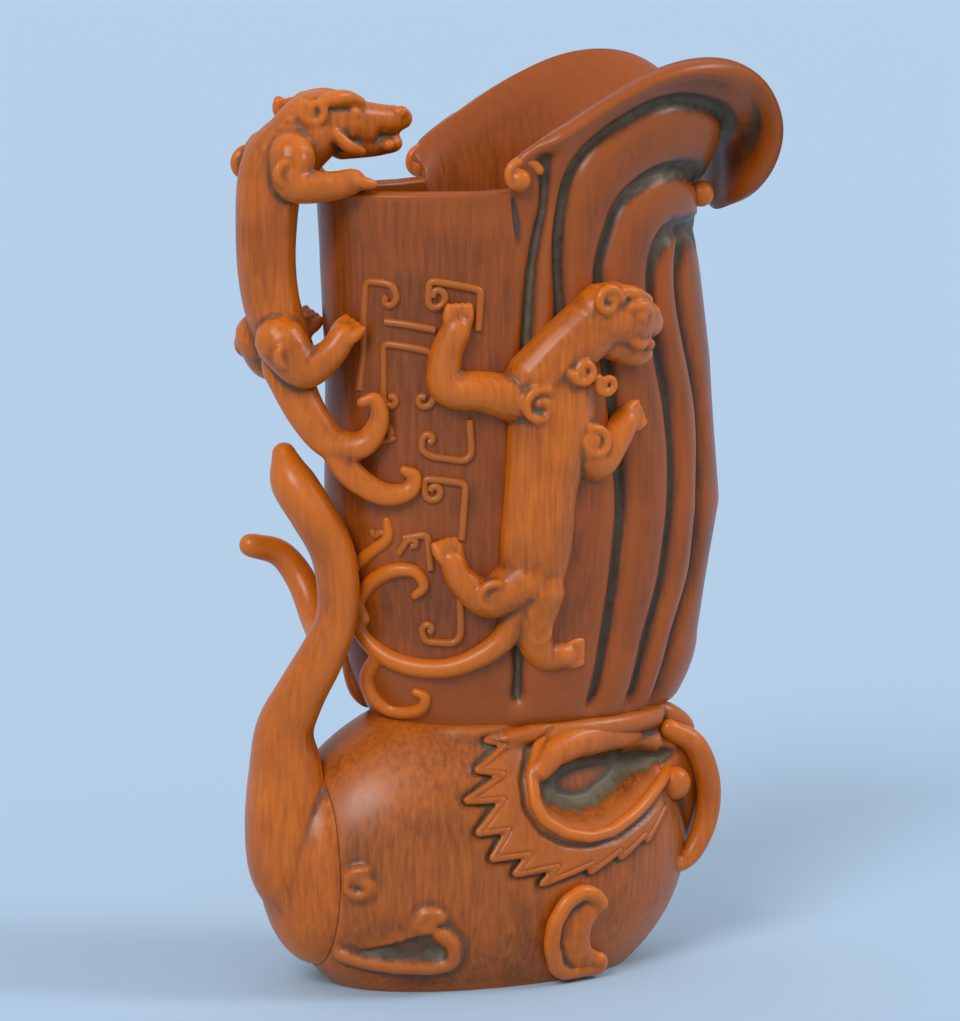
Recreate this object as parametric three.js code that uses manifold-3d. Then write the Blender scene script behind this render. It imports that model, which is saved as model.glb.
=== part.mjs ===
// Rhyton-shaped boxwood brush pot: an oval cup with a rolled spout, carried on the back of a
// crouching beast, with three hornless dragons (chilong) climbing it.
// Millimetres, +Z up. X runs from the handle dragon to the spout, -Y is the carved front.
import * as THREE from "three";
import { mergeVertices } from "three/addons/utils/BufferGeometryUtils.js";
import Module from "manifold-3d";

const wasm = await Module();
wasm.setup();

// Driving dimensions
const SEAT_Z = 50; // plane where the cup stands on the beast's back
const RIM_CLEAR = 4.2; // height above the wall's end that figures keep clear of the rounded rim
const FIT = 0.3; // clearance between a carved figure and the surface it clings to
const CUP_WALL = 2.6;
const CUP_FLOOR = 5;
const CUP_FLATNESS = 0.55; // depth of the oval over its width
const RIM_Z = 153; // straight rim on the handle side
const BEND_Z = 141; // height where the wall leaves its upright line
const BEND_ROWS = 9;
const RIB_DEPTH = 1.1; // nested leaf ribs on the spout side
const RIB_PITCH = 8; // ribs around the whole oval, counted by angle
const COLUMNS = 60;
const WALL_ROWS = 11;
const BEAST = { length: 88, depth: 48, height: 68, z: 24 };
const COLLAR_X = -36; // where the tail leaves the rump

// Half width and middle of the cup's oval at a few heights
const CUP_STATIONS = [
  { z: SEAT_Z, a: 28, x: 8.5 },
  { z: 66, a: 35, x: 8.5 },
  { z: 92, a: 39.5, x: 8.5 },
  { z: 120, a: 38.2, x: 7.6 },
  { z: RIM_Z, a: 36.8, x: 4.5 },
];

const wood = (color, roughness = 0.42) =>
  new THREE.MeshStandardMaterial({ color, roughness, metalness: 0 });
const DARK = 0x5a2a14;
const MID = 0x8a4420;
const WARM = 0xa5541f;

const smooth = (t) => {
  const c = Math.min(1, Math.max(0, t));
  return c * c * (3 - 2 * c);
};

// Size of the oval at height z, blended smoothly between the stations
function ovalAt(z) {
  const s = CUP_STATIONS;
  let i = 0;
  while (i < s.length - 2 && z > s[i + 1].z) i += 1;
  const t = Math.min(1, Math.max(0, (z - s[i].z) / (s[i + 1].z - s[i].z)));
  const k = i === 0 ? Math.sin((t * Math.PI) / 2) : t;
  const a = s[i].a + (s[i + 1].a - s[i].a) * k;
  return { a, b: a * CUP_FLATNESS, x: s[i].x + (s[i + 1].x - s[i].x) * t };
}

// The free edge of the spout, by angle away from its tip in degrees: where the edge is, how far
// the wall rises before it bends, from where it comes back to the edge, and its sideways flare
const SPOUT_EDGE = [
  { angle: 0, x: 50.5, z: 149.5, rise: 34, backX: 8, backZ: 14, flare: 1.0 },
  { angle: 12, x: 53.0, z: 151.0, rise: 34, backX: 6, backZ: 14, flare: 1.9 },
  { angle: 24, x: 56.0, z: 157.5, rise: 32, backX: 2, backZ: 15, flare: 1.7 },
  { angle: 36, x: 56.3, z: 166.0, rise: 28, backX: -3, backZ: 11, flare: 1.5 },
  { angle: 48, x: 51.0, z: 174.5, rise: 22, backX: -8, backZ: 4, flare: 1.38 },
  { angle: 60, x: 41.5, z: 179.0, rise: 18, backX: -9, backZ: -2, flare: 1.32 },
  { angle: 72, x: 28.0, z: 178.5, rise: 14, backX: -6, backZ: -5, flare: 1.3 },
  { angle: 84, x: 12.5, z: 171.0, rise: 9, backX: -1, backZ: -6, flare: 1.24 },
  { angle: 96, x: -3.5, z: 160.0, rise: 5, backX: 3, backZ: -1, flare: 1.1 },
  { angle: 104, x: -4.4, z: 154.8, rise: 4, backX: 0, backZ: -3, flare: 1.0 },
];
const LOBE_END = 104; // beyond this angle the rim is plain and level

// The edge values at an angle, blended between the rows above
function spoutAt(angle) {
  const away = Math.abs(((THREE.MathUtils.radToDeg(angle) + 180) % 360) - 180);
  const e = SPOUT_EDGE;
  let i = 0;
  while (i < e.length - 2 && away > e[i + 1].angle) i += 1;
  const t = Math.min(1, (away - e[i].angle) / (e[i + 1].angle - e[i].angle));
  const mixed = { plain: away >= LOBE_END };
  for (const key of ["x", "z", "rise", "backX", "backZ", "flare"]) {
    mixed[key] = e[i][key] + (e[i + 1][key] - e[i][key]) * t;
  }
  return mixed;
}

// One closed manifold solid from rings of points, each ring in the same sense, with a pole
// point before the first ring and after the last one
function loft(rings, firstPole, lastPole) {
  const n = rings[0].length;
  const vertices = [firstPole, ...rings.flat(), lastPole];
  const last = vertices.length - 1;
  const index = [];
  const at = (r, i) => 1 + r * n + (i % n);
  for (let i = 0; i < n; i += 1) {
    index.push(0, at(0, i + 1), at(0, i));
    index.push(last, at(rings.length - 1, i), at(rings.length - 1, i + 1));
    for (let r = 0; r < rings.length - 1; r += 1) {
      index.push(at(r, i), at(r, i + 1), at(r + 1, i));
      index.push(at(r, i + 1), at(r + 1, i + 1), at(r + 1, i));
    }
  }
  const g = new THREE.BufferGeometry().setFromPoints(vertices);
  g.setIndex(index);
  return solid(g);
}

function solid(geometry) {
  const g = geometry.clone();
  g.deleteAttribute("normal");
  g.deleteAttribute("uv");
  const merged = mergeVertices(g, 1e-4);
  return new wasm.Manifold(
    new wasm.Mesh({
      numProp: 3,
      vertProperties: Float32Array.from(merged.attributes.position.array),
      triVerts: Uint32Array.from(merged.index.array),
    }),
  );
}

// The wall of the cup in one direction: straight up, then along a curve to the free edge
function wallPath(angle) {
  const path = [];
  for (let i = 0; i <= WALL_ROWS; i += 1) {
    const z = SEAT_Z + ((BEND_Z - SEAT_Z) * i) / WALL_ROWS;
    const o = ovalAt(z);
    path.push(new THREE.Vector3(o.x + o.a * Math.cos(angle), o.b * Math.sin(angle), z));
  }
  const start = path.at(-1).clone();
  const rim = ovalAt(RIM_Z);
  const s = spoutAt(angle);
  const edgeX = s.plain ? rim.x + rim.a * Math.cos(angle) : s.x;
  const edge = new THREE.Vector3(edgeX, rim.b * Math.sin(angle) * s.flare, s.z);
  const lead = start.clone().add(new THREE.Vector3(0, 0, s.rise));
  const pull = s.flare > 1 ? -0.12 * edge.y : 0;
  const trail = edge.clone().add(new THREE.Vector3(s.backX, pull, s.backZ));
  const bend = new THREE.CubicBezierCurve3(start, lead, trail, edge);
  for (let i = 1; i <= BEND_ROWS; i += 1) path.push(bend.getPoint(i / BEND_ROWS));
  return path;
}

// Outer or inner surface point of every path point in one direction
function wallSide(angle, offset, ribs) {
  const path = wallPath(angle);
  const across = new THREE.Vector3(-Math.sin(angle), CUP_FLATNESS * Math.cos(angle), 0).normalize();
  return path.map((p, i) => {
    const before = path[Math.max(0, i - 1)];
    const after = path[Math.min(path.length - 1, i + 1)];
    const along = after.clone().sub(before);
    const out = across.clone().cross(along).normalize();
    const rib = ribs ? RIB_DEPTH * ribShare(angle, p.z, i) * Math.cos(2 * RIB_PITCH * angle) : 0;
    const q = p.clone().addScaledVector(out, offset + rib);
    if (i === 0) q.z = SEAT_Z;
    return q;
  });
}

// Ribs fade out towards the handle side, the foot and the rolled lip
function ribShare(angle, z, i) {
  return smooth((Math.cos(angle) - 0.1) / 0.4) * smooth((z - SEAT_Z) / 12) * smooth((WALL_ROWS + 3 - i) / 4);
}

const angles = Array.from({ length: COLUMNS }, (_, i) => (2 * Math.PI * i) / COLUMNS);

function buildCup() {
  const outer = angles.map((t) => wallSide(t, CUP_WALL / 2, true));
  const inner = angles.map((t) => wallSide(t, -CUP_WALL / 2, false));
  const rows = outer[0].length;
  const rings = [];
  for (let r = 0; r < rows; r += 1) rings.push(outer.map((side) => side[r]));
  for (let r = rows - 1; r >= 0; r -= 1) {
    rings.push(
      inner.map((side) => {
        const p = side[r].clone();
        p.z = Math.max(p.z, SEAT_Z + CUP_FLOOR);
        return p;
      }),
    );
  }
  const foot = CUP_STATIONS[0];
  rings.pop();
  return loft(
    rings,
    new THREE.Vector3(foot.x, 0, SEAT_Z),
    new THREE.Vector3(foot.x, 0, SEAT_Z + CUP_FLOOR),
  );
}

// The filled cup, grown by the fit, that is cut from each figure that clings to it
function cupCutter() {
  const sides = angles.map((t) => wallSide(t, CUP_WALL / 2 + FIT, true));
  const rings = [];
  for (let r = 0; r <= WALL_ROWS; r += 1) rings.push(sides.map((side) => side[r]));
  const foot = CUP_STATIONS[0];
  const low = rings[0].map((p) => p.clone().setZ(SEAT_Z - FIT));
  const rim = ovalAt(RIM_Z);
  const grown = CUP_WALL / 2 + FIT + 0.1;
  const high = angles.map((t) => {
    const p = new THREE.Vector3(rim.x, 0, RIM_Z + RIM_CLEAR);
    p.x += (rim.a + grown) * Math.cos(t);
    p.y += (rim.b + grown) * Math.sin(t);
    return p;
  });
  return loft(
    [low, ...rings, high],
    new THREE.Vector3(foot.x, 0, SEAT_Z - FIT),
    new THREE.Vector3(CUP_STATIONS.at(-1).x, 0, RIM_Z + RIM_CLEAR),
  );
}

// A limb: a smooth route with a radius at each point, flattened across its route if asked
function limb(points, flat = 1, sides = 8) {
  const route = new THREE.CatmullRomCurve3(points.map((p) => new THREE.Vector3(p[0], p[1], p[2])));
  const steps = Math.max(4, (points.length - 1) * 2);
  const rings = [];
  let side = new THREE.Vector3(0, 1, 0);
  for (let i = 0; i <= steps; i += 1) {
    const t = i / steps;
    const f = t * (points.length - 1);
    const k = Math.min(points.length - 2, Math.floor(f));
    const radius = points[k][3] + (points[k + 1][3] - points[k][3]) * smooth(f - k);
    const along = route.getTangent(t);
    side = side.clone().addScaledVector(along, -side.dot(along)).normalize();
    const over = along.clone().cross(side);
    const centre = route.getPoint(t);
    const ring = [];
    for (let j = 0; j < sides; j += 1) {
      const a = (2 * Math.PI * j) / sides;
      ring.push(
        centre
          .clone()
          .addScaledVector(side, radius * flat * Math.cos(a))
          .addScaledVector(over, radius * Math.sin(a)),
      );
    }
    rings.push(ring);
  }
  const cap = (i, way) => {
    const t = i / steps;
    const p = points[i === 0 ? 0 : points.length - 1];
    return route.getPoint(t).addScaledVector(route.getTangent(t), way * p[3] * 0.8);
  };
  return loft(rings, cap(0, -1), cap(steps, 1));
}

function ball(x, y, z, rx, ry = rx, rz = rx, detail = 12) {
  const g = new THREE.SphereGeometry(1, detail, Math.max(6, detail / 2));
  g.scale(rx, ry, rz);
  g.rotateX(Math.PI / 2);
  g.scale(1, 1, 1);
  g.translate(x, y, z);
  return solid(g);
}

const join = (parts) => parts.slice(1).reduce((all, p) => all.add(p), parts[0]);

// A point on the front (side -1) or back (side +1) of the cup, raised by lift
function onCup(x, z, lift, radius, side = -1) {
  const o = ovalAt(z);
  const inside = Math.max(0.02, 1 - ((x - o.x) / o.a) ** 2);
  return [x, side * (o.b * Math.sqrt(inside) + CUP_WALL / 2 + lift), z, radius];
}

const clinging = (rows, side) => rows.map(([x, z, lift, r]) => onCup(x, z, lift, r, side));

const cup = buildCup();
const cutter = cupCutter();

// The beast: a low rounded body with a flat underside and a flat saddle for the cup
const beastCore = () => ball(0, 0, BEAST.z, BEAST.length / 2, BEAST.height / 2, BEAST.depth / 2, 28);
function buildBeast() {
  const body = join([
    beastCore(),
    limb([[-8, -16, 24, 7], [-24, -16, 15, 8], [-29, -14, 10, 7], [-14, -17, 6, 4.5]], 0.8),
    limb([[-8, 16, 24, 7], [-24, 16, 15, 8], [-29, 14, 10, 7], [-14, 17, 6, 4.5]], 0.8),
    limb([[26, 0, 40, 15], [36, 0, 40, 10], [41, 0, 34, 8], [38, 0, 24, 8]], 1.2),
  ]);
  return body.trimByPlane([0, 0, 1], 0).trimByPlane([0, 0, -1], -SEAT_Z);
}
const beastAll = buildBeast();
const beast = beastAll.trimByPlane([1, 0, 0], COLLAR_X);

// Tail: from the collar it swells, then rises as an S that leans on the cup and flares out
const tailRoute = [
  [COLLAR_X - 2, 0, 20, 8],
  [-40.2, 0, 25, 8.4],
  [-40.8, 0, 33, 8.4],
  [-41.2, 0, 42, 7.4],
  [-42, -1, 51, 5.6],
  [-39.8, -3.5, 58.4, 4.7],
  [-36.4, -6, 66, 4.3],
  [-33.8, -7, 72.5, 3.9],
  [-33.2, -7, 79.3, 4],
  [-34.6, -7, 87, 4.2],
  [-38.2, -6, 94, 4.2],
  [-41, -3, 100, 4.2],
  [-41.6, -1, 104.6, 2.6],
];
const rump = beastCore().trimByPlane([-1, 0, 0], -(COLLAR_X - FIT));
const beyondCollar = limb(tailRoute, 1.1, 10).subtract(beastAll.trimByPlane([1, 0, 0], COLLAR_X - FIT));
// A stub of cloud scroll stands off the far side of the tail
const stub = limb([[-35, -5, 68, 3], [-33, 6, 71, 3], [-33.5, 10, 78, 3], [-37, 12.5, 83.5, 2.8], [-43, 13, 85.5, 2.6]]);
const tail = join([rump, beyondCollar, stub])
  .trimByPlane([0, 0, 1], 0)
  .subtract(cutter)
  .subtract(beast.translate([-FIT, 0, 0]));

// Handle dragon: head over the rim, arched back, paws on the cup, forked tail on its side
const handle = join([
  limb([[-40, 0, 163, 7], [-33, 0, 167, 7.5], [-25, 0, 167, 5.5], [-18.5, 0, 166, 3.6]], 0.85, 10),
  limb(
    [[-36, 0, 168, 5], [-43, 0, 160, 6.2], [-44.6, 0, 146, 5.8], [-43.8, 0, 134, 5.6], [-40, 0, 124, 5.2]],
    1.2,
    10,
  ),
  limb([[-43, -7, 162, 5], [-42, -9, 156, 3.6], [-35, -9, 156, 2.8], [-30, -9, 156.5, 2.6]]),
  limb([[-43, 7, 162, 5], [-42, 9, 156, 3.6], [-35, 9, 156, 2.8], [-30, 9, 156.5, 2.6]]),
  limb([[-44, -6, 126, 5], [-39, -9, 121, 4], [-34, -9, 124, 3], [-30, -9, 130, 2.8]]),
  limb([[-44, 6, 126, 5], [-39, 9, 121, 4], [-34, 9, 124, 3], [-30, 9, 130, 2.8]]),
  limb([[-42, -2, 122, 4.5], [-38, -6, 112, 3.6], [-34, -9, 107.5, 3], [-27.5, -12, 108, 2.6], [-24, -13.5, 114, 2.2]]),
  limb([[-20, 0, 170, 2], [-26, 0, 172, 2.6], [-32, 0, 172, 2.4]], 1.4),
  ball(-33, -5, 170.5, 3, 2.6, 2),
  ball(-33, 5, 170.5, 3, 2.6, 2),
]).subtract(cutter);

// Front dragon: torso, head turned to the spout, four legs and the scrolling tail
const climbing = (side) => [
  limb(clinging([[4, 118, 1, 8.6], [3, 108, 1, 8.4], [1.6, 94, 1, 7.4], [0.6, 82, 1, 7], [-0.5, 75, 1, 4.4]], side), 0.72),
  limb(clinging([[1, 119, 2, 7], [8, 126, 3, 6.4], [15, 130, 4, 7], [21, 129.5, 4, 5.4], [24.5, 128, 3, 3.6]], side), 0.85),
  limb(clinging([[0, 114, 2, 4.5], [-10, 117, 2, 3.6], [-16, 118, 2, 3.2], [-15, 128, 1.6, 3]], side)),
  limb(clinging([[8, 108, 1.6, 4.5], [14, 104, 1.6, 3.6], [18, 109, 1.6, 3]], side)),
  limb(clinging([[-1, 80, 1.2, 4.6], [-9, 78, 1.2, 3.6], [-14, 85, 1, 2.8]], side)),
  limb(clinging([[1, 78, 1.2, 4.6], [2, 68, 1.2, 3.4], [9, 66, 1, 2.8]], side)),
  limb(clinging([[-1, 77, 1, 3.2], [-6, 68, 0.8, 2.6], [-14, 63.5, 0.8, 2.4], [-24, 66, 0.8, 2.2]], side)),
];
const front = join(climbing(-1)).subtract(cutter);
const back = join(climbing(1)).subtract(cutter);

// A point on the front or back flank of the beast, raised by lift
function onBeast(x, z, lift, radius, side) {
  const inside = 1 - (x / (BEAST.length / 2)) ** 2 - ((z - BEAST.z) / (BEAST.height / 2)) ** 2;
  return [x, side * ((BEAST.depth / 2) * Math.sqrt(Math.max(0.02, inside)) + lift), z, radius];
}

// Each beast ear is a cupped leaf standing off the cheek, with a serrated mane below it
const EAR = { x: 14, z: 40, rx: 16, ry: 8, rz: 10, y: 22, wall: 2.6 };
const earBody = (side, grow) =>
  ball(EAR.x, side * EAR.y, EAR.z, EAR.rx + grow, EAR.rz + grow, EAR.ry + grow, 20);
function buildEar(side) {
  const lift = [0, side * EAR.wall, EAR.wall];
  return earBody(side, 0).subtract(earBody(side, -EAR.wall / 2).translate(lift));
}

const MANE = { teeth: 7, from: 0.95, sweep: 0.92, root: 3.6, tip: 1.1 };
function buildMane(side) {
  const at = (share, out, radius) => {
    const t = Math.PI * (MANE.from + MANE.sweep * share);
    const x = EAR.x + (EAR.rx + out) * Math.cos(t);
    const z = EAR.z + (EAR.rz + out) * Math.sin(t);
    return onBeast(x, z, 0.8, radius, side);
  };
  const band = [];
  for (let i = 0; i < MANE.teeth; i += 1) band.push(at(i / (MANE.teeth - 1), 1, MANE.root));
  const teeth = band.map((root, i) => {
    const share = i / (MANE.teeth - 1);
    return limb([root, at(share + 0.02, 4, 2.8), at(share + 0.05, 8, MANE.tip)], 0.8, 6);
  });
  return join([limb(band, 1, 6), ...teeth]);
}

// Foot scroll: a C-shaped curl resting on the ground in front of the belly
const FOOT = { x: 11, z: 9.5, rx: 6, rz: 7, from: 0.35, sweep: 1.5, radius: 3, steps: 9 };
function buildFoot(side) {
  const route = [];
  for (let i = 0; i <= FOOT.steps; i += 1) {
    const t = Math.PI * (FOOT.from + (FOOT.sweep * i) / FOOT.steps);
    const z = FOOT.z + FOOT.rz * Math.sin(t);
    route.push(onBeast(FOOT.x + FOOT.rx * Math.cos(t), z, 1.6, FOOT.radius, side));
  }
  return limb(route, 1.2, 8).trimByPlane([0, 0, 1], 0);
}

// Snout scroll: a C-shaped curl on each cheek, at the end of the head
function buildSnout(side) {
  const route = [[37, 7, 47], [42.5, 8, 43], [45.5, 8, 36], [45.5, 7, 28], [42, 7, 21], [37, 8, 18]];
  return limb(route.map(([x, y, z]) => [x, side * (y + 3), z, 2.6]), 1, 7);
}

const pot = new THREE.Group();
pot.name = "boxwood_brush_pot";

function add(name, body, color) {
  const m = body.getMesh();
  const g = new THREE.BufferGeometry();
  g.setAttribute("position", new THREE.BufferAttribute(Float32Array.from(m.vertProperties), 3));
  g.setIndex(new THREE.BufferAttribute(Uint32Array.from(m.triVerts), 1));
  g.computeVertexNormals();
  const mesh = new THREE.Mesh(g, wood(color));
  mesh.name = name;
  pot.add(mesh);
}

add("cup_body", cup, MID);
add("beast_body", beast, DARK);
add("beast_tail", tail, MID);
add("handle_chilong", handle, MID);
add("front_chilong", front, WARM);
add("back_chilong", back, WARM);

const grown = beastAll.add(beastAll.translate([0, -FIT, 0])).add(beastAll.translate([0, FIT, 0]));
for (const [where, side] of [["front", -1], ["back", 1]]) {
  const ear = buildEar(side).subtract(grown).trimByPlane([0, 0, -1], -(SEAT_Z - FIT));
  const foot = buildFoot(side).subtract(grown);
  const mane = buildMane(side).subtract(grown).subtract(earBody(side, FIT)).trimByPlane([0, 0, -1], -(SEAT_Z - FIT));
  add("ear_" + where, ear, WARM);
  add("mane_" + where, mane, DARK);
  add("foot_scroll_" + where, foot, MID);
  add("snout_scroll_" + where, buildSnout(side).subtract(grown), WARM);
}

// The origin is the middle of the footprint's bounding box, on the ground
const bounds = new THREE.Box3().setFromObject(pot);
const middle = bounds.getCenter(new THREE.Vector3());
pot.position.set(-middle.x, -middle.y, -bounds.min.z);

export default pot;
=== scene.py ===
import math

import bpy
import numpy as np
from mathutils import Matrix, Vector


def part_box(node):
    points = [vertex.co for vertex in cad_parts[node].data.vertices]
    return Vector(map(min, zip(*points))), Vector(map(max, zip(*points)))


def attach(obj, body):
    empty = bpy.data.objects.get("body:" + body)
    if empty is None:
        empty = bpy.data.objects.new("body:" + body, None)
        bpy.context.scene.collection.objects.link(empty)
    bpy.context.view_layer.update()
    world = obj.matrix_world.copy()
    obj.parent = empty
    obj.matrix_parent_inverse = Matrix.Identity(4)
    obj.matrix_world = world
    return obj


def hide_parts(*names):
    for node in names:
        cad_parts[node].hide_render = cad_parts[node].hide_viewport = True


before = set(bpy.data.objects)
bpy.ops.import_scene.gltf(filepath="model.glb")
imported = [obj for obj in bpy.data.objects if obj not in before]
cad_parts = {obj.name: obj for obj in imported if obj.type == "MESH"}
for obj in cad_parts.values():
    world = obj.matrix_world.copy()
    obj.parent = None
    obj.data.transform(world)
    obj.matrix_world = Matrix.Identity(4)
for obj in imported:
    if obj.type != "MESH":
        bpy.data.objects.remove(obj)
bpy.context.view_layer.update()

# The cup: a flattened oval wall of boxwood with a rolled spout, turned and then carved.
# Its leaf ribs run up the spout side and over the lip, and its handle side is plain.
# It stands on the saddle of the beast, and everything else is laid out around it.
MM = 0.001
SEAT_Z = 50.0
COLLAR_X = -36.0
SHIFT_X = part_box("beast_body")[0][0] / MM - COLLAR_X
FLATNESS = 0.55
WALL = 2.6
FLOOR = 5.0
RIM_Z = 153.0
# Height, half width and middle of the oval
STATIONS = np.array([(50, 28, 8.5), (66, 35, 8.5), (92, 39.5, 8.5), (120, 38.2, 7.6), (153, 36.8, 4.5)])
# The photograph's pixel scale and the direction it was taken from, for lines read off it
PIXELS_PER_MM, PHOTO_MIDDLE = 5.195, (480.0, 510.5)
AIM_Z, AZIMUTH, ELEVATION = 92.0, math.radians(-25.0), math.radians(8.0)


def smooth(t):
    t = np.clip(t, 0.0, 1.0)
    return t * t * (3 - 2 * t)


def oval(z):
    """Half width, half depth and middle of the cup's oval at a height."""
    z = np.asarray(z, float)
    low = np.clip((z - SEAT_Z) / (STATIONS[1, 0] - SEAT_Z), 0, 1)
    a = np.interp(z, STATIONS[:, 0], STATIONS[:, 1])
    first = STATIONS[0, 1] + (STATIONS[1, 1] - STATIONS[0, 1]) * np.sin(low * math.pi / 2)
    a = np.where(z < STATIONS[1, 0], first, a)
    return a, a * FLATNESS, np.interp(z, STATIONS[:, 0], STATIONS[:, 2])


def cup_face(x, z, lift=0.0, side=-1):
    """A point on the front (-1) or back (+1) of the cup, raised off it by lift."""
    a, b, middle = oval(z)
    inside = np.maximum(0.02, 1 - ((x - middle) / a) ** 2)
    return np.array([x, side * (b * np.sqrt(inside) + WALL / 2 + lift), z])


def from_photo(px, py, y):
    """The point at depth y that the photograph shows at a pixel."""
    x = ((px - PHOTO_MIDDLE[0]) / PIXELS_PER_MM - y * math.sin(AZIMUTH)) / math.cos(AZIMUTH)
    away = math.sin(ELEVATION) * (math.cos(AZIMUTH) * y - math.sin(AZIMUTH) * x)
    z = AIM_Z + ((PHOTO_MIDDLE[1] - py) / PIXELS_PER_MM - away) / math.cos(ELEVATION)
    return x, z


def traced(pixels, lift=0.0):
    """Points on the cup's front under a line of the photograph."""
    points = []
    for px, py in pixels:
        y = -20.0
        for _ in range(4):
            x, z = from_photo(px, py, y)
            y = float(cup_face(x, z, lift)[1])
        points.append((x, y, z))
    return np.array(points)


def distance_to(points, line):
    """Distance of points to a line of straight pieces, all in one plane."""
    best = np.full(len(points), 1e9)
    for a, b in zip(line[:-1], line[1:]):
        ab = b - a
        t = np.clip(((points - a) @ ab) / max(1e-9, ab @ ab), 0, 1)
        best = np.minimum(best, np.linalg.norm(points - a - t[:, None] * ab, axis=1))
    return best


def rounded(points, step=0.5, passes=2):
    """A line through the points at even steps, with its corners slightly rounded."""
    points = np.asarray(points, float)
    length = np.concatenate([[0], np.cumsum(np.linalg.norm(np.diff(points, axis=0), axis=1))])
    at = np.linspace(0, length[-1], max(3, int(length[-1] / step)))
    line = np.stack([np.interp(at, length, points[:, k]) for k in range(points.shape[1])], 1)
    for _ in range(passes):
        line[1:-1] = (line[:-2] + 2 * line[1:-1] + line[2:]) / 4
    return line


# Lines between the nested leaves of the spout, as pixels of the photograph
LEAF_LINES = {
    "fold": [(540, 170), (546, 205), (538, 240), (531, 286), (527, 338), (524, 420), (520, 520), (518, 700)],
    "first": [(560, 330), (556, 250), (560, 195), (571, 166), (593, 142), (614, 126), (641, 107), (668, 99),
              (695, 102), (716, 123), (729, 147), (727, 190), (718, 215)],
    "second": [(593, 706), (604, 658), (615, 584), (622, 500), (612, 400), (600, 330), (597, 271), (606, 240),
               (614, 206), (633, 187), (654, 171), (681, 166), (697, 179), (703, 206)],
    "third": [(632, 706), (646, 651), (665, 582), (674, 493), (674, 455), (668, 399), (659, 361), (651, 301),
              (650, 271), (657, 238), (670, 225), (692, 225)],
    "fourth": [(652, 716), (676, 642), (696, 577), (702, 511), (703, 436), (700, 399), (689, 346), (680, 301),
               (678, 271), (680, 240)],
}
LEAF_DEPTH, LEAF_WIDTH, LEAF_SWELL = 1.5, 1.3, 1.9


def wood_mesh(name, vertices, faces):
    """A mesh in metres from points in the carving's own millimetres."""
    mesh = bpy.data.meshes.new(name)
    placed = (np.asarray(vertices, float) + (SHIFT_X, 0, 0)) * MM
    mesh.from_pydata(placed.tolist(), [], [tuple(f) for f in faces])
    mesh.validate()
    mesh.update()
    return mesh


def note_form(mesh, reach=22):
    """Store how hollow or proud each point is, for the painted shade and the dust in the recesses and for the worn
    edges.
    """
    n = len(mesh.vertices)
    v = np.empty(n * 3)
    mesh.vertices.foreach_get("co", v)
    v = v.reshape(n, 3)
    e = np.empty(len(mesh.edges) * 2, int)
    mesh.edges.foreach_get("vertices", e)
    e = e.reshape(-1, 2)
    normals = np.empty(n * 3)
    mesh.vertex_normals.foreach_get("vector", normals)
    normals = normals.reshape(n, 3)
    both = np.concatenate([e, e[:, ::-1]])
    count = np.maximum(1, np.bincount(both[:, 0], minlength=n))
    s = v.copy()
    for _ in range(reach):
        s = np.stack([np.bincount(both[:, 0], s[both[:, 1], k], n) / count for k in range(3)], 1)
    depth = np.einsum("ij,ij->i", s - v, normals) / MM
    for _ in range(2):
        depth = 0.5 * depth + 0.5 * np.bincount(both[:, 0], depth[both[:, 1]], n) / count
    for label, values in (("hollow", depth / 0.45), ("proud", -depth / 0.45)):
        layer = mesh.attributes.new(label, "FLOAT", "POINT")
        layer.data.foreach_set("value", np.clip(values, 0, 1).astype(np.float32))


def finish_piece(name, mesh, material, *nodes, smooth_faces=True):
    """Put a carved piece into the scene on the one body, in place of its CAD nodes."""
    note_form(mesh)
    if smooth_faces:
        mesh.polygons.foreach_set("use_smooth", [True] * len(mesh.polygons))
    mesh.materials.clear()
    mesh.materials.append(material)
    piece = bpy.data.objects.new(name, mesh)
    bpy.context.scene.collection.objects.link(piece)
    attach(piece, "root")
    if nodes:
        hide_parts(*nodes)
    return piece


def linear(hex_colour):
    """An sRGB hex colour as linear light."""
    parts = [int(hex_colour[i:i + 2], 16) / 255 for i in (1, 3, 5)]
    return [c / 12.92 if c <= 0.04045 else ((c + 0.055) / 1.055) ** 2.4 for c in parts] + [1.0]


def node(tree, kind, links=(), values=(), **settings):
    """Add one node, with its settings, its input values and its links."""
    made = tree.nodes.new(kind)
    for key, value in settings.items():
        setattr(made, key, value)
    for key, value in dict(values).items():
        made.inputs[key].default_value = value
    for key, source in dict(links).items():
        tree.links.new(source, made.inputs[key])
    return made


# Boxwood, oiled and handled for a long time: a satin red-brown that is orange where hands have worn it, with grey-green
# dust that never left the recesses. The recesses are also darkened nearly to black with painted shade.
GRAIN_MM = 0.9
DUST_MM = 2.2


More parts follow.
